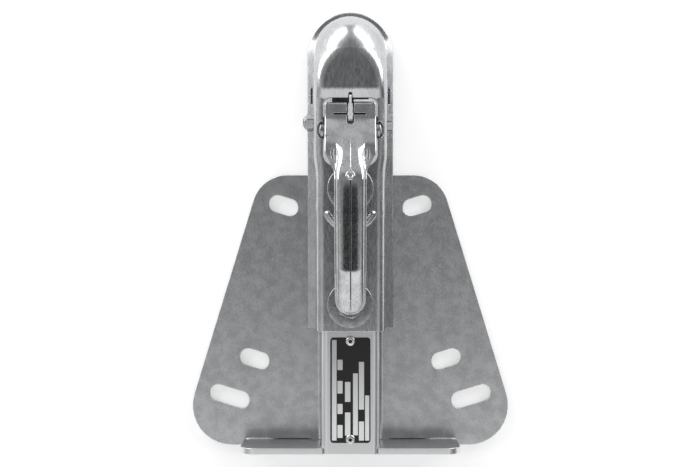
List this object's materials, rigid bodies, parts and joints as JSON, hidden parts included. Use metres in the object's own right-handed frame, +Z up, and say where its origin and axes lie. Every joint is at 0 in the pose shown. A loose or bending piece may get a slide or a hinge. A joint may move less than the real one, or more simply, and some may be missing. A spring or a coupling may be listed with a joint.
{
  "type": "trailer ball coupler",
  "caption": "Pressed steel ball coupling head with lift handle, bolted to a wedge-shaped slotted drawbar plate with a raised channel.",
  "frame": {"origin": "centre of the tow ball that the head takes", "axes": "+Y forward to the towing vehicle, +Z up, +X to the right"},
  "size_m": [0.2632, 0.3588, 0.0738],
  "materials": {
    "galvanised_sheet": "galvanised, fine mottled grey",
    "zinc_plated_body": "bright zinc plated pressed sheet",
    "zinc_plated_handle": "bright zinc plated, polished by hands",
    "zinc_plated_catch": "bright zinc plated",
    "zinc_plated_fasteners": "zinc plated, bright",
    "rivet_steel": "bright",
    "cast_jaw": "zinc plated casting, matt",
    "spring_steel": "drawn wire, satin",
    "type_plate_black": "black printed aluminium"
  },
  "bodies": {
    "frame_body": {"mounting_plate": "galvanised_sheet", "type_plate": "type_plate_black", "type_plate_rivets": "rivet_steel", "coupler_body": "zinc_plated_body", "mount_bolts": "zinc_plated_fasteners", "mount_washers": "zinc_plated_fasteners", "lower_washers": "zinc_plated_fasteners", "mount_nuts": "zinc_plated_fasteners", "jaw_pivot_bolt": "zinc_plated_fasteners", "jaw_pivot_nut": "zinc_plated_fasteners", "pivot_sleeve": "zinc_plated_fasteners", "jaw_spring": "spring_steel", "handle_pivot_pin": "zinc_plated_fasteners"},
    "handle_body": {"handle": "zinc_plated_handle", "handle_rivet": "rivet_steel", "cam_plates": "zinc_plated_handle", "catch_pin": "zinc_plated_fasteners", "catch_spring": "spring_steel"},
    "jaw_body": {"locking_jaw": "cast_jaw"},
    "catch_body": {"safety_catch": "zinc_plated_catch"}
  },
  "joints": [
    {"name": "handle_lift", "type": "hinge", "parent": "frame_body", "child": "handle_body", "pos_m": [0, -0.0632, 0.0188], "axis": [-1, 0, 0], "range_deg": [0, 40]},
    {"name": "jaw_open", "type": "hinge", "parent": "frame_body", "child": "jaw_body", "pos_m": [0, -0.0553, 0.0047], "axis": [-1, 0, 0], "range_deg": [0, 11.3], "deforming": ["jaw_spring"]},
    {"name": "catch_press", "type": "hinge", "parent": "handle_body", "child": "catch_body", "pos_m": [0, -0.046, 0.0222], "axis": [1, 0, 0], "range_deg": [0, 12], "deforming": ["catch_spring"]}
  ],
  "couplings": [
    {"joint": "jaw_open", "follows": "handle_lift", "ratio": 0.28}
  ]
}
